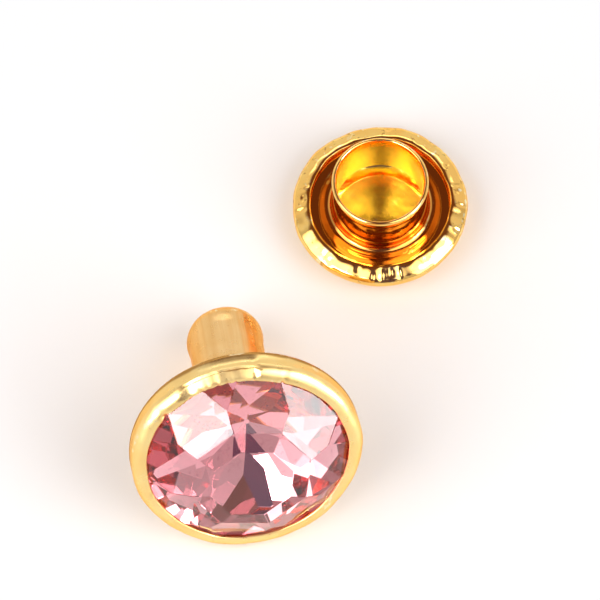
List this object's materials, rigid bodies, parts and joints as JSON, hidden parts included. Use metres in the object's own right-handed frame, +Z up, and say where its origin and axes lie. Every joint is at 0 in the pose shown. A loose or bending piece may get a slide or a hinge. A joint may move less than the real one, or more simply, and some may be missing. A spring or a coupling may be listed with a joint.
{
  "type": "rhinestone rivet",
  "caption": "Decorative rivet: a faceted pink stone in a rolled gold cup on a hollow post, and a domed capped back whose thin tube takes the post.",
  "frame": {"origin": "on the floor, under the middle of the common box of the stud and its back", "axes": "+Z up, +Y away from the stone's face, along which the stud's post and then the back follow, +X to the right"},
  "size_m": [0.0144, 0.0196, 0.0093],
  "materials": {
    "pink_stone": "polished facets, pink, with a mirror coat on the back",
    "satin_gold": "satin pale gold plate",
    "bright_gold": "mirror-polished gold plate"
  },
  "bodies": {
    "root": {"rhinestone": "pink_stone", "setting_cup": "satin_gold", "post": "satin_gold", "back_cap": "bright_gold", "back_tube": "bright_gold"}
  },
  "joints": []
}
